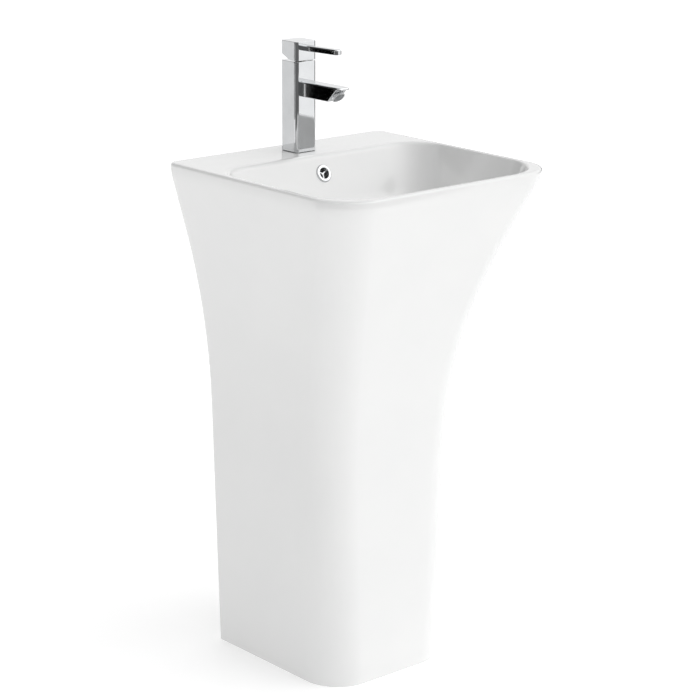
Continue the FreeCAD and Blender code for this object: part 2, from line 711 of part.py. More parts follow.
def lever_bar():
    bar = side_prism(
        [(-HALF, LEVER_LOW), (-HALF, LEVER_HIGH), (-LEVER_REACH, LEVER_HIGH + LEVER_RISE),
         (-LEVER_REACH, LEVER_LOW + LEVER_RISE)], -LEVER_HALF, LEVER_HALF)
    end_edges = []
    for edge in bar.Edges:
        bounds = edge.BoundBox
        if bounds.YMax < -LEVER_REACH + 0.01 and bounds.ZLength > 1:
            end_edges.append(edge)
    bar = bar.makeFillet(LEVER_TIP_R, end_edges)
    bar = bar.makeFillet(LEVER_TOP_R, long_edges(bar, LEVER_HIGH + LEVER_RISE / 2))
    tenon = rod_y(TENON_R - 0.05, -HALF - 1, TENON_DEPTH - HALF - 0.1, 0, LEVER_MID_Z)
    return bar.fuse(tenon).removeSplitter()


def grub_screw():
    start = STEM_SIDE / 2 + 0.02
    screw = rod_y(2.5, start, start + 8, 0, GRUB_Z)
    socket = hexagon(2.5, start + 4.5, start + 9)
    socket.rotate(ORIGIN, X_AXIS, -90)
    socket.translate(V(0, 0, GRUB_Z))
    return screw.cut(socket)


def screw_cover():
    stem = rod_y(2.5, HALF - 4.5, HALF, 0, GRUB_Z)
    return stem.fuse(rod_y(3.4, HALF, HALF + 0.8, 0, GRUB_Z)).removeSplitter()


def square_gasket():
    half = HALF - 0.8
    plate = rounded_bar(-half, half, -half, half, 0, GASKET_THICK, TAP_EDGE_R - 0.8)
    return plate.cut(rod(16.5, -1, GASKET_THICK + 1))


UNDER_DECK = -DECK_THICK


def horseshoe(z0, z1, outer):
    """Clamping washer with a slot that lets it pass around the supply hoses."""
    plate = rod(outer, z0, z1)
    plate = plate.cut(box(-15.0, 15.0, -outer - 1, 4.5, z0 - 1, z1 + 1))
    return plate.cut(rod(STUD_R + 0.3, z0 - 1, z1 + 1, 0, STUD_Y))


def mounting_nut():
    nut = hexagon(13.0, UNDER_DECK - 19.0, UNDER_DECK - 5.0, 0, STUD_Y)
    return nut.cut(rod(STUD_HOLE_R, UNDER_DECK - 20, UNDER_DECK, 0, STUD_Y))


# ---------------------------------------------------------------- write the pieces

save(ceramic_basin(), "ceramic_basin")
save(overflow_cover(), "overflow_cover")

save(waste_body(), "waste_body")
save(ring(31.0, TAIL_R + 0.05, DRAIN_SEAT_Z, FLANGE_Z, 0, DRAIN_Y), "waste_flange_seal")
save(ring(33.0, TAIL_R + 0.05, BOSS_Z - 4, BOSS_Z, 0, DRAIN_Y), "waste_lower_seal")
back_nut = hexagon(56.0, BOSS_Z - 12, BOSS_Z - 4, 0, DRAIN_Y)
save(back_nut.cut(rod(TAIL_R + 0.05, BOSS_Z - 13, BOSS_Z, 0, DRAIN_Y)), "waste_nut")
save(plug_cage(), "plug_cage")
save(plug_spring(), "plug_spring")
save(plug_stem(), "plug_stem")
save(plug_cap(), "plug_cap")
save(plug_seal(), "plug_seal")

save(ring(TAIL_R - 0.2, TUBE_BORE_R, SEAL_Z, TAIL_Z, 0, DRAIN_Y), "trap_inlet_seal")
save(trap_inlet_nut(), "trap_inlet_nut")
save(trap_dip_tube(), "trap_dip_tube")
save(ring(19.0, PIPE_R + 0.05, NECK_Z - 5, NECK_Z + 0.9, 0, DRAIN_Y), "trap_neck_seal")
save(trap_neck_nut(), "trap_neck_nut")
save(trap_body(), "trap_body")
save(ring(BOTTLE_R, 28.6, BOTTLE_LOW - 2, BOTTLE_LOW, 0, DRAIN_Y), "trap_cup_seal")
save(trap_cup(), "trap_cup")
save(ring_y(19.8, PIPE_R + 0.05, STUB_Y, STUB_Y + 1.0, 0, OUTLET_Z), "trap_outlet_seal")
save(trap_outlet_nut(), "trap_outlet_nut")
save(waste_pipe(), "waste_pipe")

save(on_deck(square_gasket()), "tap_base_gasket")
save(on_deck(tap_body()), "tap_body")
save(on_deck(tap_spout()), "tap_spout")
save(on_slope(aerator_housing()), "aerator_housing")
save(on_slope(aerator_insert()), "aerator_insert")
save(on_slope(ring(9.6, 8.0, -AERATOR_DEPTH, AERATOR_SEAL_THICK - AERATOR_DEPTH)), "aerator_seal")
save(on_deck(cartridge_base()), "cartridge_base")
save(on_deck(cartridge_seals()), "cartridge_seals")
save(on_deck(fixed_disc()), "fixed_disc")
save(on_deck(moving_disc()), "moving_disc")
save(on_deck(disc_carrier()), "disc_carrier")
save(on_deck(cartridge_housing()), "cartridge_housing")
save(on_deck(cartridge_turret()), "cartridge_turret")
save(on_deck(turret_pin()), "turret_pin")
save(on_deck(cartridge_stem()), "cartridge_stem")
save(on_deck(cartridge_nut()), "cartridge_nut")
save(on_deck(handle_block()), "handle_block")
save(on_deck(lever_bar()), "lever_bar")
save(on_deck(grub_screw()), "handle_grub_screw")
save(on_deck(screw_cover()), "screw_cover")
save(on_deck(rod(STUD_R, UNDER_DECK - 40, 15.0, 0, STUD_Y)), "mounting_stud")
save(on_deck(horseshoe(UNDER_DECK - 3, UNDER_DECK, 24.0)), "horseshoe_seal")
save(on_deck(horseshoe(UNDER_DECK - 5, UNDER_DECK - 3, 24.0)), "horseshoe_washer")
save(on_deck(mounting_nut()), "mounting_nut")
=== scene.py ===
import json
import math

import bmesh
import bpy
from mathutils import Matrix, Vector

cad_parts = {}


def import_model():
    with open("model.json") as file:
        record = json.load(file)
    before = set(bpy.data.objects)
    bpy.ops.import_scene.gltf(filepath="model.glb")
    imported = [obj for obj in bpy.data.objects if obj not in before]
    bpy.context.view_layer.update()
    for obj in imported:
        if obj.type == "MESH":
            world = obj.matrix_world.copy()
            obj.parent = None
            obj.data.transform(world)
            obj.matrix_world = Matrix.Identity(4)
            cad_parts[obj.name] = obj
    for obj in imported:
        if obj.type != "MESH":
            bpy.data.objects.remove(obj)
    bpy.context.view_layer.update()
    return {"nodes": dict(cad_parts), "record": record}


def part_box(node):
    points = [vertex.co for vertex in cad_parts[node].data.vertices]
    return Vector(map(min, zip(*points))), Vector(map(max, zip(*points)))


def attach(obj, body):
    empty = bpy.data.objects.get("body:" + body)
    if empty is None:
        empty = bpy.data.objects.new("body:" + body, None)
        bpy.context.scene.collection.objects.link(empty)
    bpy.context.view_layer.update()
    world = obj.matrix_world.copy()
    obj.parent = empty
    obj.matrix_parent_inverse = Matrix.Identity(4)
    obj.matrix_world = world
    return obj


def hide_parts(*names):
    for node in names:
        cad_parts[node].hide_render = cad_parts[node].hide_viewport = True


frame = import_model()
nodes = frame["nodes"]

# Everything is in metres, in the frame of the CAD model: +Z up, the wall at +Y, the user at -Y.

basin_low, basin_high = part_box("ceramic_basin")
HALF_WIDTH = basin_high.x
BACK_Y = basin_high.y
FRONT_Y = basin_low.y
RIM_Z = basin_high.z

# Shape of the pedestal's walls
LIP_Z = RIM_Z - 0.015
LIP_BLEND = 0.010
SIDE_WALL = {"taper": 0.0375, "flare": 0.295, "bend": 0.430, "straight": 0.745}
FRONT_WALL = {"taper": 0.0, "flare": 0.435, "bend": 0.345, "straight": 0.720}
FRONT_CORNER = 0.068
BACK_CORNER = 0.006
BACK_CORNER_GROWTH = 0.012
RIM_ROUND = 0.005
BACK_ROUND = 0.003
FOOT_ROUND = 0.003
WALL = 0.011
DECK_THICK = 0.012

# Shape of the bowl
BOWL = {"half": 0.2175, "front": -0.208, "back": 0.108, "r_front": 0.090, "r_back": 0.060}
DRAFT = {"side": 0.33, "front": 0.30, "back": 0.42}
CREASE = {"side": 0.0040, "front": 0.0040, "back": 0.0120}
BOWL_DEPTH = 0.118
BOWL_ROUND = 0.050
FRONT_R_LOSS = 0.35
BACK_R_LOSS = 0.20
DISH_FALL = 0.004
SEAT_R = 0.034

# How many points each stretch of an outline has
FRONT_COUNT = 30
FRONT_CORNER_COUNT = 24
SIDE_COUNT = 30
BACK_CORNER_COUNT = 10
BACK_COUNT = 36


# ---------------------------------------------------------------- mesh helpers

def new_object(name, mesh):
    obj = bpy.data.objects.new(name, mesh)
    bpy.context.scene.collection.objects.link(obj)
    return obj


def loft(name, loops, cap_start=True, cap_end=True):
    """Closed surface through loops that all have the same number of points."""
    count = len(loops[0])
    verts = [p for loop in loops for p in loop]
    faces = []
    for k in range(len(loops) - 1):
        for i in range(count):
            j = (i + 1) % count
            a = k * count
            b = a + count
            faces.append((a + i, a + j, b + j, b + i))
    if cap_start:
        faces.append(tuple(reversed(range(count))))
    if cap_end:
        last = (len(loops) - 1) * count
        faces.append(tuple(last + i for i in range(count)))
    mesh = bpy.data.meshes.new(name)
    mesh.from_pydata([tuple(v) for v in verts], [], faces)
    fix_normals(mesh)
    return new_object(name, mesh)


def fix_normals(mesh):
    bm = bmesh.new()
    bm.from_mesh(mesh)
    bmesh.ops.recalc_face_normals(bm, faces=bm.faces)
    bm.to_mesh(mesh)
    bm.free()


def lathe(name, profile, segments=96):
    """Solid of revolution about Z from (radius, height) points that run round its closed section."""
    mesh = bpy.data.meshes.new(name)
    bm = bmesh.new()
    rings = []
    for radius, z in profile:
        if radius < 1e-6:
            rings.append([bm.verts.new((0, 0, z))])
            continue
        ring = []
        for i in range(segments):
            angle = 2 * math.pi * i / segments
            ring.append(bm.verts.new((radius * math.cos(angle), radius * math.sin(angle), z)))
        rings.append(ring)
    for k in range(len(rings)):
        first = rings[k]
        second = rings[(k + 1) % len(rings)]
        if len(first) == 1 and len(second) == 1:
            continue
        for i in range(segments):
            j = (i + 1) % segments
            corners = [first[i % len(first)], first[j % len(first)],
                       second[j % len(second)], second[i % len(second)]]
            unique = list(dict.fromkeys(corners))
            bm.faces.new(unique)
    bmesh.ops.recalc_face_normals(bm, faces=bm.faces)
    bm.to_mesh(mesh)
    bm.free()
    return new_object(name, mesh)


def arc_points(centre, radius, start, end, steps):
    """Points along an arc in a plane, angles in degrees from the plane's first axis."""
    points = []
    for i in range(steps + 1):
        angle = math.radians(start + (end - start) * i / steps)
        points.append((centre[0] + radius * math.cos(angle), centre[1] + radius * math.sin(angle)))
    return points


def joined(stretches):
    """Closed outline of curves, each followed by a straight stretch cut into equal steps."""
    points = []
    for k, (curve, after) in enumerate(stretches):
        points.extend(curve)
        first = curve[-1]
        last = stretches[(k + 1) % len(stretches)][0][0]
        for i in range(1, after):
            t = i / after
            points.append((first[0] + (last[0] - first[0]) * t, first[1] + (last[1] - first[1]) * t))
    return points


def apply_modifiers(obj):
    bpy.context.view_layer.update()
    graph = bpy.context.evaluated_depsgraph_get()
    mesh = bpy.data.meshes.new_from_object(obj.evaluated_get(graph))
    obj.modifiers.clear()
    old = obj.data
    obj.data = mesh
    bpy.data.meshes.remove(old)


def combine(obj, others, operation="DIFFERENCE"):
    """Boolean of obj with each of the others, which are then removed."""
    for other in others:
        modifier = obj.modifiers.new("cut", "BOOLEAN")
        modifier.operation = operation
        modifier.solver = "MANIFOLD"
        modifier.object = other
    apply_modifiers(obj)
    for other in others:
        bpy.data.objects.remove(other)
    return obj


def smooth(obj, degrees=35.0):
    for polygon in obj.data.polygons:
        polygon.use_smooth = True
    obj.data.set_sharp_from_angle(angle=math.radians(degrees))
    modifier = obj.modifiers.new("normals", "WEIGHTED_NORMAL")
    modifier.keep_sharp = True
    modifier.weight = 80
    return obj


def paint(obj, *materials):
    obj.data.materials.clear()
    for material in materials:
        obj.data.materials.append(material)
    return obj


def piece(obj, body, slot, *replaced):
    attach(obj, body)
    if replaced:
        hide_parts(*replaced)
    return obj


def cylinder(name, radius, start, end, segments=64):
    """Closed cylinder between two points."""
    start = Vector(start)
    end = Vector(end)
    length = (end - start).length
    obj = lathe(name, [(0, 0), (radius, 0), (radius, length), (0, length)], segments)
    turn = Vector((0, 0, 1)).rotation_difference(end - start).to_matrix().to_4x4()
    obj.data.transform(Matrix.Translation(start) @ turn)
    return obj


def block(name, x0, x1, y0, y1, z0, z1):
    loops = []
    for z in (z0, z1):
        loops.append([(x0, y0, z), (x1, y0, z), (x1, y1, z), (x0, y1, z)])
    return loft(name, loops)


def join(target, others):
    bm = bmesh.new()
    bm.from_mesh(target.data)
    for other in others:
        bm.from_mesh(other.data)
    bm.to_mesh(target.data)
    bm.free()
    for other in others:
        bpy.data.objects.remove(other)
    return target


def mounts(*names):
    """The record's mounts of these names, as (place, dimensions in metres)."""
    found = []
    for mount in frame["record"]["mounts"]:
        if mount["name"] in names:
            lengths = {key[:-3]: value / 1000 for key, value in mount["dims"].items() if key.endswith("_mm")}
            found.append((Vector(mount["pos_m"]), lengths))
    return found


# ---------------------------------------------------------------- materials

def material(name, color, roughness, metallic=0.0, coat=0.0):
    mat = bpy.data.materials.new(name)
    mat.use_nodes = True
    shader = mat.node_tree.nodes["Principled BSDF"]
    shader.inputs["Base Color"].default_value = (*color, 1.0)
    shader.inputs["Roughness"].default_value = roughness
    shader.inputs["Metallic"].default_value = metallic
    shader.inputs["Coat Weight"].default_value = coat
    return mat, mat.node_tree, shader


NOISE_RANGE = (0.3, 0.7)


def noise(tree, scale, detail=2.0, roughness=0.5, stretch=(1, 1, 1)):
    """Noise over the object's own coordinates."""
    place = tree.nodes.new("ShaderNodeTexCoord")
    mapping = tree.nodes.new("ShaderNodeMapping")
    mapping.inputs["Scale"].default_value = stretch
    texture = tree.nodes.new("ShaderNodeTexNoise")
    texture.inputs["Scale"].default_value = scale
    texture.inputs["Detail"].default_value = detail
    texture.inputs["Roughness"].default_value = roughness
    tree.links.new(place.outputs["Object"], mapping.inputs["Vector"])
    tree.links.new(mapping.outputs["Vector"], texture.inputs["Vector"])
    return texture.outputs["Fac"]


def remap(tree, value, from_low, from_high, to_low, to_high):
    node = tree.nodes.new("ShaderNodeMapRange")
    node.inputs["From Min"].default_value = from_low
    node.inputs["From Max"].default_value = from_high
    node.inputs["To Min"].default_value = to_low
    node.inputs["To Max"].default_value = to_high
    tree.links.new(value, node.inputs["Value"])
    return node.outputs["Result"]


def spread(tree, value, low, high):
    """Maps the usual range of a noise to low..high."""
    return remap(tree, value, *NOISE_RANGE, low, high)


def tint(tree, value, low, high):
    """Maps the usual range of a noise to a colour between low and high."""
    node = tree.nodes.new("ShaderNodeValToRGB")
    for element, position, color in zip(node.color_ramp.elements, NOISE_RANGE, (low, high)):
        element.position = position
        element.color = (*color, 1.0)
    tree.links.new(value, node.inputs["Fac"])
    return node.outputs["Color"]


def bump(tree, shader, value, strength, distance, before=None):
    node = tree.nodes.new("ShaderNodeBump")
    node.inputs["Strength"].default_value = strength
    node.inputs["Distance"].default_value = distance
    tree.links.new(value, node.inputs["Height"])
    if before is not None:
        tree.links.new(before, node.inputs["Normal"])
    tree.links.new(node.outputs["Normal"], shader.inputs["Normal"])
    return node.outputs["Normal"]


def glaze():
    """White vitreous glaze: faint pooling of tone, very slight waviness, a hard clear coat."""
    mat, tree, shader = material("white_glaze", (0.90, 0.90, 0.895), 0.16, coat=0.6)
    shader.inputs["Coat Roughness"].default_value = 0.035
    shader.inputs["IOR"].default_value = 1.5
    color = tint(tree, noise(tree, 7.0, 3.0), (0.825, 0.828, 0.826), (0.845, 0.846, 0.842))
    tree.links.new(color, shader.inputs["Base Color"])
    rough = spread(tree, noise(tree, 22.0, 4.0), 0.13, 0.20)
    tree.links.new(rough, shader.inputs["Roughness"])
    broad = bump(tree, shader, noise(tree, 9.0, 1.0), 0.10, 0.0012)
    bump(tree, shader, noise(tree, 420.0, 2.0), 0.02, 0.0002, broad)
    return mat


def bisque():
    """Unglazed or thinly glazed ceramic inside the pedestal and under its foot."""
    mat, tree, shader = material("raw_ceramic", (0.74, 0.72, 0.68), 0.7)
    color = tint(tree, noise(tree, 16.0, 5.0, 0.6), (0.66, 0.64, 0.60), (0.80, 0.785, 0.75))
    tree.links.new(color, shader.inputs["Base Color"])
    rough = spread(tree, noise(tree, 40.0, 3.0), 0.55, 0.85)
    tree.links.new(rough, shader.inputs["Roughness"])
    coarse = bump(tree, shader, noise(tree, 60.0, 4.0), 0.35, 0.0006)
    bump(tree, shader, noise(tree, 900.0, 3.0), 0.25, 0.0002, coarse)
    return mat


def chrome():
    """Polished plate with faint wipe marks and a trace of waviness."""
    mat, tree, shader = material("polished_chrome", (0.665, 0.675, 0.685), 0.04, metallic=1.0)
    color = tint(tree, noise(tree, 30.0, 2.0), (0.64, 0.65, 0.66), (0.69, 0.70, 0.71))
    tree.links.new(color, shader.inputs["Base Color"])
    marks = noise(tree, 90.0, 5.0, 0.7, (1.0, 1.0, 0.25))
    tree.links.new(spread(tree, marks, 0.025, 0.065), shader.inputs["Roughness"])
    bump(tree, shader, noise(tree, 35.0, 1.0), 0.03, 0.0003)
    return mat


def rubber():
    mat, tree, shader = material("black_rubber", (0.03, 0.03, 0.032), 0.75)
    color = tint(tree, noise(tree, 120.0, 4.0), (0.022, 0.022, 0.024), (0.05, 0.05, 0.05))
    tree.links.new(color, shader.inputs["Base Color"])
    rough = spread(tree, noise(tree, 300.0, 3.0), 0.6, 0.9)
    tree.links.new(rough, shader.inputs["Roughness"])
    bump(tree, shader, noise(tree, 1800.0, 2.0), 0.3, 0.0001)
    return mat


def brass():
    mat, tree, shader = material("machined_brass", (0.72, 0.55, 0.28), 0.28, metallic=1.0)
    color = tint(tree, noise(tree, 45.0, 4.0), (0.60, 0.44, 0.21), (0.78, 0.61, 0.33))
    tree.links.new(color, shader.inputs["Base Color"])
    turning = noise(tree, 500.0, 2.0, 0.5, (0.1, 0.1, 1.0))
    tree.links.new(spread(tree, turning, 0.2, 0.4), shader.inputs["Roughness"])
    bump(tree, shader, turning, 0.15, 0.0001)
    return mat


def steel():
    mat, tree, shader = material("stainless_steel", (0.58, 0.58, 0.57), 0.3, metallic=1.0)
    color = tint(tree, noise(tree, 60.0, 3.0), (0.50, 0.50, 0.49), (0.64, 0.64, 0.63))
    tree.links.new(color, shader.inputs["Base Color"])
    grain = noise(tree, 700.0, 2.0, 0.5, (0.1, 1.0, 1.0))
    tree.links.new(spread(tree, grain, 0.22, 0.42), shader.inputs["Roughness"])
    bump(tree, shader, grain, 0.12, 0.0001)
    return mat


def plastic(name, dark, light, roughness):
    """Moulded plastic: slight sink and flow variation and a fine texture."""
    mat, tree, shader = material(name, light, roughness)
    color = tint(tree, noise(tree, 25.0, 3.0), dark, light)
    tree.links.new(color, shader.inputs["Base Color"])
    rough = spread(tree, noise(tree, 150.0, 3.0), roughness * 0.85, roughness * 1.2)
    tree.links.new(rough, shader.inputs["Roughness"])
    flow = bump(tree, shader, noise(tree, 30.0, 1.0), 0.10, 0.0004)
    bump(tree, shader, noise(tree, 1500.0, 2.0), 0.12, 0.0001, flow)
    return mat


def lapped_ceramic():
    mat, tree, shader = material("lapped_alumina", (0.85, 0.84, 0.80), 0.35)
    color = tint(tree, noise(tree, 200.0, 4.0), (0.80, 0.79, 0.75), (0.88, 0.87, 0.84))
    tree.links.new(color, shader.inputs["Base Color"])
    rough = spread(tree, noise(tree, 400.0, 3.0), 0.28, 0.45)
    tree.links.new(rough, shader.inputs["Roughness"])
    bump(tree, shader, noise(tree, 2500.0, 2.0), 0.08, 0.0001)
    return mat


GLAZE = glaze()
BISQUE = bisque()
CHROME = chrome()
RUBBER = rubber()
BRASS = brass()
STEEL = steel()
WHITE_PLASTIC = plastic("white_polypropylene", (0.80, 0.80, 0.785), (0.86, 0.86, 0.85), 0.28)
GREY_PLASTIC = plastic("grey_acetal", (0.30, 0.31, 0.32), (0.38, 0.39, 0.40), 0.45)
ALUMINA = lapped_ceramic()

SLOT_MATERIALS = {
    "glazed_ceramic": GLAZE,
    "chrome": CHROME,
    "rubber": RUBBER,
    "brass": BRASS,
    "white_plastic": WHITE_PLASTIC,
    "grey_plastic": GREY_PLASTIC,
    "disc_ceramic": ALUMINA,
    "steel": STEEL,
}


# ---------------------------------------------------------------- ceramic basin

def outline(half, y_front, y_back, r_front, r_back):
    """Points round a rounded rectangle, anticlockwise from the front left of the front edge."""
    corners = [
        (half - r_front, y_front + r_front, r_front, -90, FRONT_CORNER_COUNT, SIDE_COUNT),
        (half - r_back, y_back - r_back, r_back, 0, BACK_CORNER_COUNT, BACK_COUNT),
        (r_back - half, y_back - r_back, r_back, 90, BACK_CORNER_COUNT, SIDE_COUNT),
        (r_front - half, y_front + r_front, r_front, 180, FRONT_CORNER_COUNT, FRONT_COUNT),
    ]
    stretches = []
    for cx, cy, radius, start, count, after in corners:
        stretches.append((arc_points((cx, cy), radius, start, start + 90, count), after))
    return joined(stretches)


def rise(z, taper, flare, bend, straight):
    """Outward travel of a wall from the floor up to z; the flare eases into the upright lip."""
    curve = 0.0
    if z > bend:
        curve = (min(z, straight) - bend) ** 2 / (2 * (straight - bend))
    if z > straight:
        curve += z - straight
    travel = taper * z + (flare - taper) * curve
    start = LIP_Z - LIP_BLEND
    if z > start:
        past = min(z - start, 2 * LIP_BLEND)
        travel -= flare * past ** 2 / (4 * LIP_BLEND)
    if z > LIP_Z + LIP_BLEND:
        travel -= flare * (z - LIP_Z - LIP_BLEND)
    return travel


def wall_inset(z, wall):
    return rise(RIM_Z, **wall) - rise(z, **wall)


def body_loop(z, inset=0.0, back_inset=None):
    back_inset = inset if back_inset is None else back_inset
    back_r = BACK_CORNER + BACK_CORNER_GROWTH * z / RIM_Z
    flat = outline(
        HALF_WIDTH - wall_inset(z, SIDE_WALL) - inset,
        FRONT_Y + wall_inset(z, FRONT_WALL) + inset,
        BACK_Y - back_inset,
        FRONT_CORNER - inset,
        max(back_r - inset, 0.002),
    )
    return [(x, y, z) for x, y in flat]


def steps(start, end, count):
    return [start + (end - start) * i / count for i in range(count + 1)]


def outer_loops():
    loops = [body_loop(0.0, FOOT_ROUND, FOOT_ROUND / 3)]
    for degrees in (30, 60, 90):
        angle = math.radians(degrees)
        inset = FOOT_ROUND * (1 - math.sin(angle))
        loops.append(body_loop(FOOT_ROUND * (1 - math.cos(angle)), inset, inset / 3))
    loops += [body_loop(z) for z in steps(0.012, 0.330, 10)]
    loops += [body_loop(z) for z in steps(0.345, LIP_Z - LIP_BLEND, 30)]
    loops += [body_loop(z) for z in steps(LIP_Z - 0.008, LIP_Z + 0.006, 6)]
    for degrees in (0, 15, 30, 45, 60, 75, 90):
        angle = math.radians(degrees)
        z = RIM_Z - RIM_ROUND * (1 - math.sin(angle))
        loops.append(body_loop(z, RIM_ROUND * (1 - math.cos(angle)), BACK_ROUND * (1 - math.cos(angle))))
    return loops


def bowl_loop(drops, offsets, grow=0.0):
    """Bowl outline; drops and offsets are depth below the rim and inset for side, front and back."""
    half = BOWL["half"] + grow - offsets["side"]
    front = BOWL["front"] - grow + offsets["front"]
    back = BOWL["back"] + grow - offsets["back"]
    r_front = BOWL["r_front"] + grow - FRONT_R_LOSS * offsets["side"]
    r_back = BOWL["r_back"] + grow - BACK_R_LOSS * offsets["side"]
    points = []
    for x, y in outline(half, front, back, r_front, r_back):
        share = min(max((y - front) / (back - front), 0.0), 1.0)
        weight = share ** 6
        drop = drops["side"] * (1 - weight) + drops["back"] * weight
        points.append((x, y, RIM_Z - drop))
    return points


def crease_loops(count=7):
    """Rounding between the rim's top and the bowl's walls, wider along the deck."""
    loops = []
    for i in range(count + 1):
        drops = {}
        offsets = {}
        for side, radius in CREASE.items():
            lean = math.atan(DRAFT[side])
            reach = radius * math.tan((math.pi / 2 - lean) / 2)
            angle = (math.pi / 2 - lean) * i / count
            drops[side] = radius * (1 - math.cos(angle))
            offsets[side] = radius * math.sin(angle) - reach
        loops.append(bowl_loop(drops, offsets))
    return loops


def wall_loops(grow=0.0, first_drop=0.016, count=9):
    """Bowl wall and bottom curve down to the edge of the floor."""
    loops = []
    straight = BOWL_DEPTH - BOWL_ROUND
    radius = BOWL_ROUND + grow
    for drop in steps(first_drop, straight, count):
        offsets = {side: draft * drop for side, draft in DRAFT.items()}
        loops.append(bowl_loop({"side": drop, "back": drop}, offsets, grow))
    for i in range(1, 17):
        angle = math.radians(90 * i / 16)
        drop = straight + radius * math.sin(angle)
        inset = radius * (1 - math.cos(angle))
        offsets = {side: draft * drop + inset for side, draft in DRAFT.items()}
        loops.append(bowl_loop({"side": drop, "back": drop}, offsets, grow))
    return loops


def floor_loops(edge, centre):
    """Dished floor from its rounded edge in to the round waste seat."""
    loops = []
    for t in steps(0.1, 1.0, 9):
        loop = []
        for x, y, z in edge:
            angle = math.atan2(y - centre[1], x - centre[0])
            seat_x = centre[0] + SEAT_R * math.cos(angle)
            seat_y = centre[1] + SEAT_R * math.sin(angle)
            fall = DISH_FALL * t * t * (3 - 2 * t)
            loop.append((x + (seat_x - x) * t, y + (seat_y - y) * t, z - fall))
        loops.append(loop)
    return loops


def deck_loops(outer, inner, count=3):
    """Flat top between the outer rim and the bowl's edge."""
    loops = []
    for t in steps(0, 1, count + 1)[1:-1]:
        loop = []
        for a, b in zip(outer, inner):
            loop.append(tuple(a[k] + (b[k] - a[k]) * t for k in range(3)))
        loops.append(loop)
    return loops


waste_low, waste_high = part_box("waste_body")
DRAIN = ((waste_low.x + waste_high.x) / 2, (waste_low.y + waste_high.y) / 2)
BOSS_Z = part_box("waste_lower_seal")[1].z
BOSS_R = 0.036
DRAIN_HOLE_R = 0.023
DUCT_HALF = 0.014
DUCT_WALL = 0.008
DUCT_Z = 0.695
DUCT_HEIGHT = 0.013
DUCT_BACK = BOWL["back"] + WALL + 0.006
tap_low, tap_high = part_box("tap_body")
TAP = Vector(((tap_low.x + tap_high.x) / 2, (tap_low.y + tap_high.y) / 2, RIM_Z))
TAP_HOLE_R = 0.0175
OVERFLOW_DROP = 0.029
OVERFLOW_AT = Vector((0, BOWL["back"] - DRAFT["back"] * OVERFLOW_DROP, RIM_Z - OVERFLOW_DROP))
OVERFLOW_OUT = Vector((0, -1, DRAFT["back"])).normalized()
OVERFLOW_HOLE_R = 0.0112


def hollow():
    """Room inside the pedestal, around the bowl's underside, the waste boss and the duct."""
    heights = steps(-0.004, 0.330, 8) + steps(0.345, RIM_Z - DECK_THICK, 30)
    room = loft("room", [body_loop(z, WALL) for z in heights])
    under = loft("under", wall_loops(WALL, first_drop=-0.004, count=8))
    boss = cylinder("boss", BOSS_R, (*DRAIN, BOSS_Z), (*DRAIN, BOSS_Z + 0.06))
    return combine(room, [under, boss, *duct(DUCT_WALL)])


def duct(margin):
    x = DUCT_HALF + margin
    top = RIM_Z - DECK_THICK - 0.002 + margin
    y_back = DUCT_BACK + margin
    upright = block("upright", -x, x, DUCT_BACK - 0.015 - margin, y_back, DUCT_Z - margin, top)
    z_top = DUCT_Z + DUCT_HEIGHT + margin
    level = block("level", -x, x, DRAIN[1], y_back, DUCT_Z - margin, z_top)
    return [upright, level]


OPENING_HALF = 0.092
OPENING_TOP = 0.690
OPENING_ROUND = 0.045
OPENING_EDGE = 0.004


def opening_loop(y, grow):
    """Outline of the back opening in the plane at y."""
    half = OPENING_HALF + grow
    radius = OPENING_ROUND + grow
    points = [(-half, y, -0.01), (half, y, -0.01)]
    for cx, start in ((half - radius, 0), (radius - half, 90)):
        centre = (cx, OPENING_TOP - OPENING_ROUND)
        points += [(x, y, z) for x, z in arc_points(centre, radius, start, start + 90, 12)]
    return points


def opening_cutter():
    """Prism of the back opening that widens in an arc at the outer face, for a rounded edge."""
    loops = [opening_loop(BACK_Y - WALL - 0.006, 0.0)]
    for degrees in (0, 22.5, 45, 67.5, 90):
        angle = math.radians(degrees)
        y = BACK_Y - OPENING_EDGE * (1 - math.sin(angle))
        loops.append(opening_loop(y, OPENING_EDGE * (1 - math.cos(angle))))
    loops.append(opening_loop(BACK_Y + 0.003, OPENING_EDGE))
    return loft("opening", loops)


def round_cutters():
    cutters = [
        cylinder("drain", DRAIN_HOLE_R, (*DRAIN, BOSS_Z - 0.002), (*DRAIN, RIM_Z - BOWL_DEPTH)),
        cylinder("overflow", OVERFLOW_HOLE_R, OVERFLOW_AT - OVERFLOW_OUT * 0.017,
                 OVERFLOW_AT + OVERFLOW_OUT * 0.01),
        cylinder("tap_hole", TAP_HOLE_R, TAP - Vector((0, 0, 0.014)), TAP + Vector((0, 0, 0.002))),
    ]
    for place, lengths in mounts("wall_fixing"):
        for side in (-1, 1):
            at = place + Vector((side * lengths["spacing_x"] / 2, 0, 0))
            inner = at - Vector((0, WALL + 0.004, 0))
            cutters.append(cylinder("fixing", lengths["hole_r"], inner, at + Vector((0, 0.002, 0))))
    return cutters


def ceramic_basin():
    outer = outer_loops()
    crease = crease_loops()
    walls = wall_loops()
    loops = outer + deck_loops(outer[-1], crease[0]) + crease + walls
    loops += floor_loops(walls[-1], DRAIN)
    basin = loft("ceramic_basin_glazed", loops)
    paint(basin, GLAZE)
    room = paint(hollow(), BISQUE)
    ducts = [paint(part, BISQUE) for part in duct(0.0)]
    combine(basin, [room, *ducts, opening_cutter(), *round_cutters()])
    smooth(basin, 32)
    return piece(basin, "basin", "glazed_ceramic", "ceramic_basin")


ceramic_basin()


# ---------------------------------------------------------------- chrome pieces

TAP_EDGE = 0.0047
FINE_EDGE = 0.0005
EDGE_STEPS = 6
BORE_R = 0.0135
SEAT_Z = RIM_Z + 0.108


def chrome_piece(obj, body, node, degrees=30):
    paint(smooth(obj, degrees), CHROME)
    return piece(obj, body, "chrome", node)


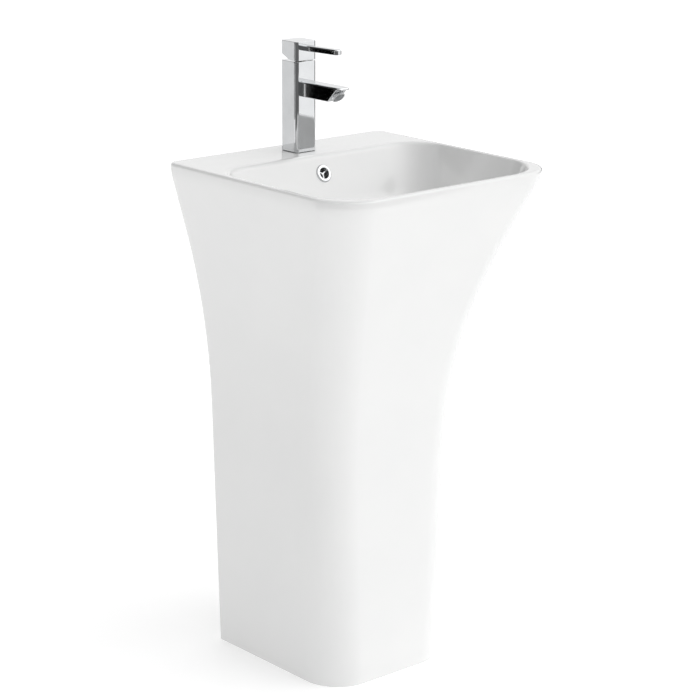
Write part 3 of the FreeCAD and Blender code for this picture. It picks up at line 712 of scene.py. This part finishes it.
def square_loop(half, radius, z, centre=TAP, steps_per_corner=12, per_side=6):
    """Rounded square about the tap's axis at height z."""
    inner = half - radius
    stretches = []
    for sx, sy, start in ((1, -1, -90), (1, 1, 0), (-1, 1, 90), (-1, -1, 180)):
        corner = (centre.x + sx * inner, centre.y + sy * inner)
        stretches.append((arc_points(corner, radius, start, start + 90, steps_per_corner), per_side))
    return [(x, y, z) for x, y in joined(stretches)]


def round_loop(like, radius, z, centre=TAP):
    """Circle whose points lie in the directions of another loop's points."""
    points = []
    for x, y, _ in like:
        angle = math.atan2(y - centre.y, x - centre.x)
        points.append((centre.x + radius * math.cos(angle), centre.y + radius * math.sin(angle), z))
    return points


def edge_steps(radius, count=EDGE_STEPS):
    """(inset, distance past the start of the rounding) round a quarter turn."""
    pairs = []
    for i in range(count + 1):
        angle = math.radians(90 * i / count)
        pairs.append((radius * (1 - math.cos(angle)), radius * math.sin(angle)))
    return pairs


def mixer_body():
    """Square column, bored at the top for the cartridge."""
    half = tap_high.x
    loops = []
    for inset, past in reversed(edge_steps(FINE_EDGE)):
        loops.append(square_loop(half - inset, TAP_EDGE - inset, tap_low.z + FINE_EDGE - past))
    for z in steps(tap_low.z + 0.002, tap_high.z - 0.002, 8):
        loops.append(square_loop(half, TAP_EDGE, z))
    for inset, past in edge_steps(FINE_EDGE):
        loops.append(square_loop(half - inset, TAP_EDGE - inset, tap_high.z - FINE_EDGE + past))
    rim = loops[-1]
    for radius, z in ((BORE_R + 0.0004, tap_high.z), (BORE_R, tap_high.z - 0.0004), (BORE_R, SEAT_Z)):
        loops.append(round_loop(rim, radius, z))
    body = loft("mixer_body", loops)
    cutters = []
    for place, lengths in mounts("hot_supply", "cold_supply"):
        start = (place.x, place.y, tap_low.z - 0.001)
        end = (place.x, place.y, tap_low.z + lengths["length"])
        cutters.append(cylinder("supply", lengths["r"], start, end))
    stud_low, stud_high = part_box("mounting_stud")
    stud_x = (stud_low.x + stud_high.x) / 2
    stud_y = (stud_low.y + stud_high.y) / 2
    stud_r = (stud_high.x - stud_low.x) / 2 + 0.00002
    stud_start = (stud_x, stud_y, tap_low.z - 0.001)
    cutters.append(cylinder("stud", stud_r, stud_start, (stud_x, stud_y, stud_high.z)))
    combine(body, cutters)
    return chrome_piece(body, "basin", "tap_body")


def bevel(obj, width, segments=4, angle=30):
    modifier = obj.modifiers.new("edge", "BEVEL")
    modifier.width = width
    modifier.segments = segments
    modifier.limit_method = "ANGLE"
    modifier.angle_limit = math.radians(angle)
    apply_modifiers(obj)
    return obj


def side_profile(name, points, half):
    """Solid across the tap from (y, z) points, with its two faces in planes of constant X."""
    loops = [[(x, y, z) for y, z in points] for x in (-half, half)]
    return loft(name, loops)


spout_low, spout_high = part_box("tap_spout")
SPOUT_HALF = spout_high.x
SPOUT_LIP = 0.0045
SPOUT_UNDER_Y = TAP.y - 0.088
SLOPE_RUN = spout_high.z - SPOUT_LIP - spout_low.z
SLOPE_TOP_Y = SPOUT_UNDER_Y - SLOPE_RUN
SLOPE_MID = Vector((0, SPOUT_UNDER_Y - SLOPE_RUN / 2, spout_low.z + SLOPE_RUN / 2))
SLOPE_OUT = Vector((0, -1, -1)).normalized()
THREAD_R = 0.0098
THREAD_DEPTH = 0.0085
SPOUT_TIP_R = 0.005
SPOUT_TOP_R = 0.003


def tip_plan(half, tip_y, back_y, radius, inset, turns=12):
    """Outline of a bar with two rounded corners at its tip, drawn in by an inset."""
    points = []
    for side, start in ((-1, 180), (1, 270)):
        centre = (side * (half - radius), tip_y + radius)
        points += arc_points(centre, radius - inset, start, start + 90, turns)
    return points + [(half - inset, back_y), (inset - half, back_y)]


def spout():
    """Square spout with a slanted end that holds the aerator."""
    lip_z = spout_high.z - SPOUT_LIP
    above = spout_high.z + 0.01
    bar = side_profile("mixer_spout", [
        (spout_high.y, spout_low.z), (SPOUT_UNDER_Y, spout_low.z), (SLOPE_TOP_Y, lip_z),
        (spout_low.y, lip_z), (spout_low.y, above), (spout_high.y, above)], SPOUT_HALF)
    back_y = spout_high.y + 0.01
    levels = [(0.0, spout_low.z - 0.01)]
    for inset, past in edge_steps(SPOUT_TOP_R, 10):
        levels.append((inset, spout_high.z - SPOUT_TOP_R + past))
    loops = []
    for inset, z in levels:
        plan = tip_plan(SPOUT_HALF, spout_low.y, back_y, SPOUT_TIP_R, inset)
        loops.append([(x, y, z) for x, y in plan])
    combine(bar, [loft("rounded", loops)], "INTERSECT")
    bevel(bar, 0.0009, 5)
    bore = cylinder("bore", THREAD_R, SLOPE_MID - SLOPE_OUT * THREAD_DEPTH, SLOPE_MID + SLOPE_OUT * 0.004)
    channel = block("channel", -0.008, 0.008, SPOUT_UNDER_Y - 0.002, spout_high.y + 0.001,
                    spout_low.z + 0.004, spout_high.z - 0.004)
    combine(bar, [bore, channel])
    return chrome_piece(bar, "basin", "tap_spout")


def face_along(obj, at, direction):
    """Turns a piece drawn about +Z so that it faces a direction, at a point."""
    turn = Vector((0, 0, 1)).rotation_difference(Vector(direction)).to_matrix().to_4x4()
    obj.data.transform(Matrix.Translation(at) @ turn)
    return obj


GRID_R = 0.0044
GRID_PITCH = 0.0011
GRID_BAR_HALF = 0.00015


def aerator():
    """Chrome ring with the straightener set back in it."""
    outer = 0.0112
    inner_end = 0.0012 - THREAD_DEPTH
    profile = [(0.0083, inner_end), (THREAD_R - 0.00005, inner_end), (THREAD_R - 0.00005, 0.0001)]
    profile += [(outer - 0.0004, 0.0001), (outer, 0.0005)]
    profile += arc_points((outer - 0.0009, 0.0041), 0.0009, 0, 90, 6)
    profile += arc_points((0.0096, 0.0045), 0.0005, 90, 180, 5)
    profile += [(0.0090, 0.0040), (0.0090, 0.0001), (0.0083, 0.0001)]
    ring = lathe("aerator_ring", profile)
    face_along(ring, SLOPE_MID, SLOPE_OUT)
    chrome_piece(ring, "basin", "aerator_housing")
    insert = lathe("aerator_screen", [
        (0.0, 0.0012), (0.00893, 0.0012), (0.00893, 0.0036), (0.0080, 0.0036), (0.0076, 0.0030),
        (0.0046, 0.0027), (0.0044, 0.0019), (0.0, 0.0019)])
    bars = []
    for i in range(-3, 4):
        offset = i * GRID_PITCH
        reach = math.sqrt(GRID_R ** 2 - offset ** 2)
        across = (-reach, reach)
        along = (offset - GRID_BAR_HALF, offset + GRID_BAR_HALF)
        bars.append(block("bar", *across, *along, 0.0019, 0.0026))
        bars.append(block("bar", *along, *across, 0.0019, 0.0026))
    join(insert, bars)
    face_along(insert, SLOPE_MID, SLOPE_OUT)
    paint(smooth(insert, 30), GREY_PLASTIC)
    piece(insert, "basin", "grey_plastic", "aerator_insert")


handle_low, handle_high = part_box("handle_block")
HANDLE_SLOPE_Y = TAP.y - 0.0025
HANDLE_SLOPE_END_Y = handle_high.y + 0.001
HANDLE_SLOPE_RISE = 0.011
POCKET_R = 0.0105
POCKET_DEPTH = 0.0095


def handle():
    """Square cap; its underside slopes up behind the middle so that it can tip back."""
    half = handle_high.x
    slope = HANDLE_SLOPE_RISE / (HANDLE_SLOPE_END_Y - HANDLE_SLOPE_Y)

    def under(loop, lift):
        return [(x, y, handle_low.z + lift + max(0.0, y - HANDLE_SLOPE_Y) * slope) for x, y, _ in loop]

    loops = []
    for inset, past in reversed(edge_steps(FINE_EDGE)):
        loop = square_loop(half - inset, TAP_EDGE - inset, 0.0)
        loops.append(under(loop, FINE_EDGE - past))
    first_full = loops[-1]
    top_full = square_loop(half, TAP_EDGE, handle_high.z - FINE_EDGE)
    for t in (0.33, 0.66):
        loops.append([tuple(Vector(a).lerp(Vector(b), t)) for a, b in zip(first_full, top_full)])
    for inset, past in edge_steps(FINE_EDGE):
        loops.append(square_loop(half - inset, TAP_EDGE - inset, handle_high.z - FINE_EDGE + past))
    pocket = under(round_loop(loops[0], POCKET_R, 0.0), 0.0)
    roof = round_loop(loops[0], POCKET_R, handle_low.z + POCKET_DEPTH)
    block_shape = loft("handle_cap", [roof, pocket] + loops)
    stem_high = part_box("cartridge_stem")[1]
    reach = stem_high.x + 0.00002
    socket = block("socket", -reach, reach, TAP.y - reach, TAP.y + reach,
                   handle_low.z + POCKET_DEPTH - 0.001, stem_high.z + 0.0001)
    grub_low, grub_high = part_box("handle_grub_screw")
    grub_z = (grub_low.z + grub_high.z) / 2
    hole = cylinder("hole", 0.00255, (0, grub_low.y, grub_z), (0, handle_high.y + 0.001, grub_z))
    combine(block_shape, [socket, hole])
    return chrome_piece(block_shape, "handle", "handle_block")


lever_low, lever_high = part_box("lever_bar")
LEVER_RISE = 0.0016
LEVER_BACK_Y = TAP.y - tap_high.x
LEVER_TIP_R = 0.0045
LEVER_EDGE = 0.0008
LEVER_TOP_R = 0.0025


def lever():
    """Flat bar that rises slightly to a tip with rounded corners."""
    tip = lever_low.y
    slope = LEVER_RISE / (LEVER_BACK_Y - tip)

    def level(inset, z):
        plan = tip_plan(lever_high.x, tip, LEVER_BACK_Y, LEVER_TIP_R, inset)
        return [(x, y, z + (LEVER_BACK_Y - y) * slope) for x, y in plan]

    top = lever_high.z - LEVER_RISE - LEVER_TOP_R
    low = lever_low.z + LEVER_EDGE
    loops = [level(inset, low - past) for inset, past in reversed(edge_steps(LEVER_EDGE))]
    loops += [level(inset, top + past) for inset, past in edge_steps(LEVER_TOP_R, 10)]
    bar = loft("lever_handle", loops)
    return chrome_piece(bar, "handle", "lever_bar")


def overflow_ring():
    """Domed ring with a three-armed grille set back inside it."""
    outer = 0.015
    bore = 0.0090
    profile = [(bore, -0.009), (OVERFLOW_HOLE_R - 0.0002, -0.009), (OVERFLOW_HOLE_R - 0.0002, 0.0)]
    profile += [(outer - 0.0002, 0.0), (outer, 0.0003)]
    profile += arc_points((outer - 0.0030, -0.0004), 0.0030, 15, 75, 8)
    profile += arc_points((bore + 0.0010, 0.0014), 0.0010, 95, 180, 6)
    ring = lathe("overflow_ring", profile)
    hub = [(0, -0.0050), (0.0022, -0.0050), (0.0022, -0.0024), (0.0018, -0.0020), (0, -0.0020)]
    parts = [lathe("hub", hub, 32)]
    for i in range(3):
        arm = block("arm", -0.0009, 0.0009, 0.0015, bore + 0.0004, -0.0050, -0.0022)
        bevel(arm, 0.0003, 2)
        arm.data.transform(Matrix.Rotation(math.radians(60 + 120 * i), 4, "Z"))
        parts.append(arm)
    join(ring, parts)
    face_along(ring, OVERFLOW_AT, OVERFLOW_OUT)
    return chrome_piece(ring, "basin", "overflow_cover", 32)


cap_low, cap_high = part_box("plug_cap")


def drain_plug():
    """Shallow domed cap of the push-down waste."""
    radius = cap_high.x
    edge_z = cap_low.z + 0.005
    crown = cap_high.z - edge_z - 0.0008
    profile = [(0.0, edge_z + 0.002), (0.0042, edge_z + 0.002), (0.0042, cap_low.z), (0.009, cap_low.z)]
    profile += [(0.010, edge_z + 0.001), (0.029, edge_z + 0.0015), (radius - 0.001, edge_z)]
    profile += arc_points((radius - 0.0008, edge_z + 0.0008), 0.0008, -60, 60, 6)
    for t in steps(0, 1, 16)[1:]:
        height = (crown - 0.0008) * (1 - (1 - t) ** 2)
        profile.append(((radius - 0.0008) * (1 - t), edge_z + 0.0016 + height))
    cap = lathe("drain_plug", profile)
    cap.data.transform(Matrix.Translation((*DRAIN, 0)))
    return chrome_piece(cap, "plug", "plug_cap")


mixer_body()
spout()
aerator()
handle()
lever()
overflow_ring()
drain_plug()


# ---------------------------------------------------------------- carried-over CAD nodes

def dress_nodes():
    """Gives each CAD node its material and smooth shading with sharp edges kept."""
    for part in frame["record"]["subparts"]:
        node = nodes[part["node"]]
        paint(node, SLOT_MATERIALS[part["material_slot"]])
        smooth(node, 28)


dress_nodes()


# ---------------------------------------------------------------- studio

def studio_flag(board, glow):
    """Makes a board a studio flag, which only reflections see."""
    mat, _, shader = material(board.name, (0.0, 0.0, 0.0), 1.0)
    shader.inputs["Specular IOR Level"].default_value = 0.0
    shader.inputs["Emission Color"].default_value = (1.0, 1.0, 1.0, 1.0)
    shader.inputs["Emission Strength"].default_value = glow
    paint(board, mat)
    board.visible_camera = False
    board.visible_diffuse = False
    board.visible_shadow = False
    board.visible_transmission = False


def flat_flag(name, centre, bearing, outline, glow=0.0):
    """Flat flag drawn as (across, height) points and turned to a bearing."""
    loops = [[(x, y, z) for x, z in outline] for y in (-0.002, 0.0)]
    board = loft(name, loops)
    turn = Matrix.Rotation(math.radians(bearing), 4, "Z")
    board.matrix_world = Matrix.Translation((centre[0], centre[1], 0.0)) @ turn
    studio_flag(board, glow)


def curved_flag(name, centre, start, end, distance, low_z, high_z, glow=0.0):
    """Flag bent round a centre from one bearing to another."""
    loops = []
    for bearing in steps(start, end, 32):
        inner = compass(centre, bearing, distance)
        outer = compass(centre, bearing, distance + 0.002)
        loops.append([(inner.x, inner.y, low_z), (outer.x, outer.y, low_z),
                      (outer.x, outer.y, high_z), (inner.x, inner.y, high_z)])
    studio_flag(loft(name, loops), glow)


def studio_floor():
    """Pale floor; a little glow keeps it as white as the backdrop."""
    half = 14.0
    floor = block("studio_floor", -half, half, -half, half, -0.02, 0.0)
    mat, tree, shader = material("pale_floor", (0.92, 0.92, 0.92), 0.6)
    color = tint(tree, noise(tree, 0.3, 2.0), (0.915, 0.915, 0.915), (0.925, 0.925, 0.925))
    tree.links.new(color, shader.inputs["Base Color"])
    shader.inputs["Emission Color"].default_value = (1.0, 1.0, 1.0, 1.0)
    shader.inputs["Emission Strength"].default_value = FLOOR_GLOW
    paint(floor, mat)


# Brightness of the surrounding softboxes: eight compass directions, starting behind the basin and
# going round by its left side (-X), front and right side, low down and high up, then overhead.
LOW_RING = (0.93, 0.68, 0.63, 0.15, 0.35, 1.07, 0.84, 1.02)
HIGH_RING = (0.60, 0.36, 0.46, 0.84, 1.72, 2.50, 1.35, 0.89)
OVERHEAD = 0.66
FLOOR_GLOW = 0.31


def link_math(tree, operation, first, second):
    node = tree.nodes.new("ShaderNodeMath")
    node.operation = operation
    for k, value in enumerate((first, second)):
        if isinstance(value, (int, float)):
            node.inputs[k].default_value = value
        else:
            tree.links.new(value, node.inputs[k])
    return node.outputs[0]


def softbox_ring(tree, bearing, levels):
    """Brightness by compass bearing, blended evenly from each of eight levels to the next."""
    node = tree.nodes.new("ShaderNodeValToRGB")
    elements = node.color_ramp.elements
    while len(elements) < 9:
        elements.new(0.5)
    for i, element in enumerate(elements):
        element.position = i / 8
        element.color = (*(levels[i % 8],) * 3, 1.0)
    tree.links.new(bearing, node.inputs["Fac"])
    return node.outputs["Color"]


def blend(tree, share, first, second):
    node = tree.nodes.new("ShaderNodeMix")
    node.data_type = "FLOAT"
    tree.links.new(share, node.inputs["Factor"])
    for socket, value in ((2, first), (3, second)):
        if isinstance(value, (int, float)):
            node.inputs[socket].default_value = value
        else:
            tree.links.new(value, node.inputs[socket])
    return node.outputs[0]


def world():
    """White backdrop for the camera, and a tent of soft light round and over the basin."""
    scene_world = bpy.data.worlds.new("studio")
    bpy.context.scene.world = scene_world
    scene_world.use_nodes = True
    tree = scene_world.node_tree
    background = tree.nodes["Background"]
    vector = tree.nodes.new("ShaderNodeTexCoord").outputs["Generated"]
    split = tree.nodes.new("ShaderNodeSeparateXYZ")
    tree.links.new(vector, split.inputs[0])
    x, y, z = split.outputs
    angle = link_math(tree, "ARCTAN2", x, link_math(tree, "MULTIPLY", y, -1.0))
    bearing = remap(tree, angle, -math.pi, math.pi, 0.0, 1.0)
    low = softbox_ring(tree, bearing, LOW_RING)
    high = softbox_ring(tree, bearing, HIGH_RING)
    sides = blend(tree, remap(tree, z, 0.1, 0.65, 0.0, 1.0), low, high)
    light = blend(tree, remap(tree, z, 0.65, 1.0, 0.0, 1.0), sides, OVERHEAD)
    seen = tree.nodes.new("ShaderNodeLightPath").outputs["Is Camera Ray"]
    tree.links.new(blend(tree, seen, light, 1.0), background.inputs["Strength"])
    background.inputs["Color"].default_value = (1.0, 1.0, 1.0, 1.0)


def compass(origin, bearing, distance):
    """Point at a distance from the origin; bearing 0 is the front and 90 the right side."""
    angle = math.radians(bearing)
    return origin + Vector((math.sin(angle), -math.cos(angle), 0.0)) * distance


def panel(left, right, low_z, high_z):
    return [(left, low_z), (right, low_z), (right, high_z), (left, high_z)]


# The bearing that the tap's left faces reflect, where two flags meet, and how high the darkest one goes
BEHIND_BEARING = -139.6
FLAG_SPLIT = 0.0205
SPOUT_FLAG_TOP = 0.942


def flags():
    """Flags give the chrome its tones: black spout and lever sides, grey column, dark corners."""
    tap = Vector((TAP.x, TAP.y, 0.0))
    behind = compass(tap, BEHIND_BEARING, 0.6)
    spout_side = [(FLAG_SPLIT, 0.80), (0.0895, 0.80), (0.0895, 0.918), (0.058, SPOUT_FLAG_TOP),
                  (FLAG_SPLIT, SPOUT_FLAG_TOP)]
    flat_flag("flag_spout", behind, BEHIND_BEARING, spout_side)
    flat_flag("flag_upper", behind, BEHIND_BEARING, panel(FLAG_SPLIT, 0.14, SPOUT_FLAG_TOP, 1.2), 0.04)
    flat_flag("flag_column", behind, BEHIND_BEARING, panel(-0.05, FLAG_SPLIT, 0.70, 1.0), 0.89)
    curved_flag("flag_edges", tap, -180, -136, 2.5, 0.80, 3.3, 0.04)
    curved_flag("flag_front", tap, -122, 36, 1.8, 0.0, 1.2, 0.16)
    flat_flag("flag_right", compass(tap, 98, 0.9), 98, panel(-0.81, 0.81, 0.725, 0.93))


CAMERA_AZIMUTH = math.radians(-40.761)
CAMERA_ELEVATION = math.radians(15.797)
CAMERA_ROLL = math.radians(0.244)
CAMERA_DISTANCE = 3.7702
CAMERA_PAN = -0.01843
CAMERA_LIFT = 0.11794
CAMERA_AIM = Vector((0, 0, 0.42))
CAMERA_LENS = 117.68


def camera():
    sin_a = math.sin(CAMERA_AZIMUTH)
    cos_a = math.cos(CAMERA_AZIMUTH)
    sin_e = math.sin(CAMERA_ELEVATION)
    cos_e = math.cos(CAMERA_ELEVATION)
    back = Vector((sin_a * cos_e, -cos_a * cos_e, sin_e))
    right = Vector((cos_a, sin_a, 0))
    up = back.cross(right)
    place = CAMERA_AIM + right * CAMERA_PAN + up * CAMERA_LIFT + back * CAMERA_DISTANCE
    rolled_right = right * math.cos(CAMERA_ROLL) + up * math.sin(CAMERA_ROLL)
    rolled_up = up * math.cos(CAMERA_ROLL) - right * math.sin(CAMERA_ROLL)
    data = bpy.data.cameras.new("camera")
    data.lens = CAMERA_LENS
    data.sensor_width = 36.0
    obj = new_object("camera", data)
    turn = Matrix((rolled_right, rolled_up, back)).transposed().to_4x4()
    obj.matrix_world = Matrix.Translation(place) @ turn
    bpy.context.scene.camera = obj


studio_floor()
world()
flags()
camera()
bpy.context.scene.view_settings.view_transform = "Standard"
